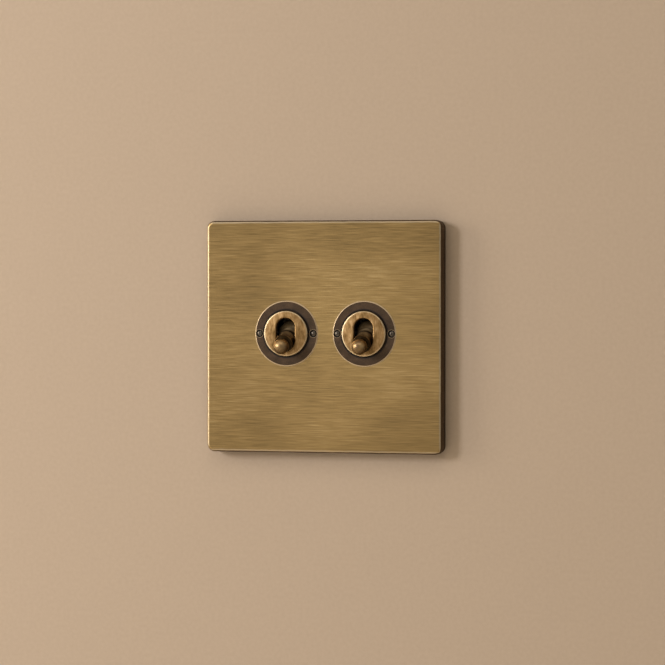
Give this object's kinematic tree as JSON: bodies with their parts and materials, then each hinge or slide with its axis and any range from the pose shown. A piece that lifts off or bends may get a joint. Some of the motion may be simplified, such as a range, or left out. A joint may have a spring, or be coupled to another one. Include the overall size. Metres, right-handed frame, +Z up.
{
  "type": "dolly light switch",
  "caption": "Wall switch with two turned brass toggles, each in a domed disc and a dark ring, on one square-edged antique brass plate.",
  "frame": {"origin": "midway between the two fixing screws, in the plane of the wall", "axes": "+X to the right as seen from the room, +Y into the wall along the fixing screws, +Z up"},
  "size_m": [0.092, 0.0405, 0.0872],
  "materials": {
    "antique_brass_plate": "brushed and patinated",
    "black_moulding": "satin",
    "zinc_plated_steel": "passivated zinc",
    "nickel_plated_screw": "bright",
    "terminal_brass": "bright",
    "terminal_screw": "yellow zinc",
    "spring_bronze": "rolled",
    "dark_bronze": "dark patina",
    "blackened_screw": "blackened",
    "golden_brass": "aged satin",
    "brown_phenolic": "moulded",
    "ivory_urea": "moulded",
    "aged_brass": "aged and polished by use",
    "plain_steel": "ground",
    "nylon": "moulded",
    "spring_steel": "drawn",
    "contact_brass": "stamped",
    "silver_contact": "silver"
  },
  "bodies": {
    "housing": {"front_plate": "antique_brass_plate", "clip_frame": "black_moulding", "grid_frame": "zinc_plated_steel", "frame_screws": "zinc_plated_steel", "fixing_screws": "nickel_plated_screw", "earth_terminal": "terminal_brass", "earth_screw": "terminal_screw", "earth_spring": "spring_bronze", "left_bezel_ring": "dark_bronze", "left_ring_screws": "blackened_screw", "left_dolly_surround": "golden_brass", "left_yoke": "zinc_plated_steel", "left_cover": "brown_phenolic", "left_base": "ivory_urea", "left_pivot_pin": "plain_steel", "left_fixed_contacts": "silver_contact", "left_common_terminal": "terminal_brass", "left_upper_terminal": "terminal_brass", "left_lower_terminal": "terminal_brass", "left_terminal_screws": "terminal_screw", "right_bezel_ring": "dark_bronze", "right_ring_screws": "blackened_screw", "right_dolly_surround": "golden_brass", "right_yoke": "zinc_plated_steel", "right_cover": "brown_phenolic", "right_base": "ivory_urea", "right_pivot_pin": "plain_steel", "right_fixed_contacts": "silver_contact", "right_common_terminal": "terminal_brass", "right_upper_terminal": "terminal_brass", "right_lower_terminal": "terminal_brass", "right_terminal_screws": "terminal_screw"},
    "left_lever": {"left_dolly": "aged_brass", "left_snap_spring": "spring_steel"},
    "left_push_pin": {"left_plunger": "nylon"},
    "left_see_saw": {"left_contact_arm": "contact_brass", "left_moving_contacts": "silver_contact"},
    "right_lever": {"right_dolly": "aged_brass", "right_snap_spring": "spring_steel"},
    "right_push_pin": {"right_plunger": "nylon"},
    "right_see_saw": {"right_contact_arm": "contact_brass", "right_moving_contacts": "silver_contact"}
  },
  "joints": [
    {"name": "left_dolly_throw", "type": "hinge", "parent": "housing", "child": "left_lever", "pos_m": [-0.0142, 0.0009, 0.0012], "axis": [-1, 0, 0], "range_deg": [0, 38]},
    {"name": "left_plunger_slide", "type": "slide", "parent": "left_lever", "child": "left_push_pin", "axis": [0, 0.9455, 0.3256], "range_m": [0, 0.00078], "stiffness_N_per_m": 300, "springref_m": 0.0015, "deforming": ["left_snap_spring"]},
    {"name": "left_see_saw_tilt", "type": "hinge", "parent": "housing", "child": "left_see_saw", "pos_m": [-0.0142, 0.0107, 0.0012], "axis": [-1, 0, 0], "range_deg": [-12.7, 0]},
    {"name": "right_dolly_throw", "type": "hinge", "parent": "housing", "child": "right_lever", "pos_m": [0.0162, 0.0009, 0.0012], "axis": [-1, 0, 0], "range_deg": [0, 38]},
    {"name": "right_plunger_slide", "type": "slide", "parent": "right_lever", "child": "right_push_pin", "axis": [0, 0.9455, 0.3256], "range_m": [0, 0.00078], "stiffness_N_per_m": 300, "springref_m": 0.0015, "deforming": ["right_snap_spring"]},
    {"name": "right_see_saw_tilt", "type": "hinge", "parent": "housing", "child": "right_see_saw", "pos_m": [0.0162, 0.0107, 0.0012], "axis": [-1, 0, 0], "range_deg": [-12.7, 0]}
  ],
  "couplings": [
    {"joint": "left_see_saw_tilt", "follows": "left_dolly_throw", "ratio": -0.33333},
    {"joint": "right_see_saw_tilt", "follows": "right_dolly_throw", "ratio": -0.33333}
  ]
}
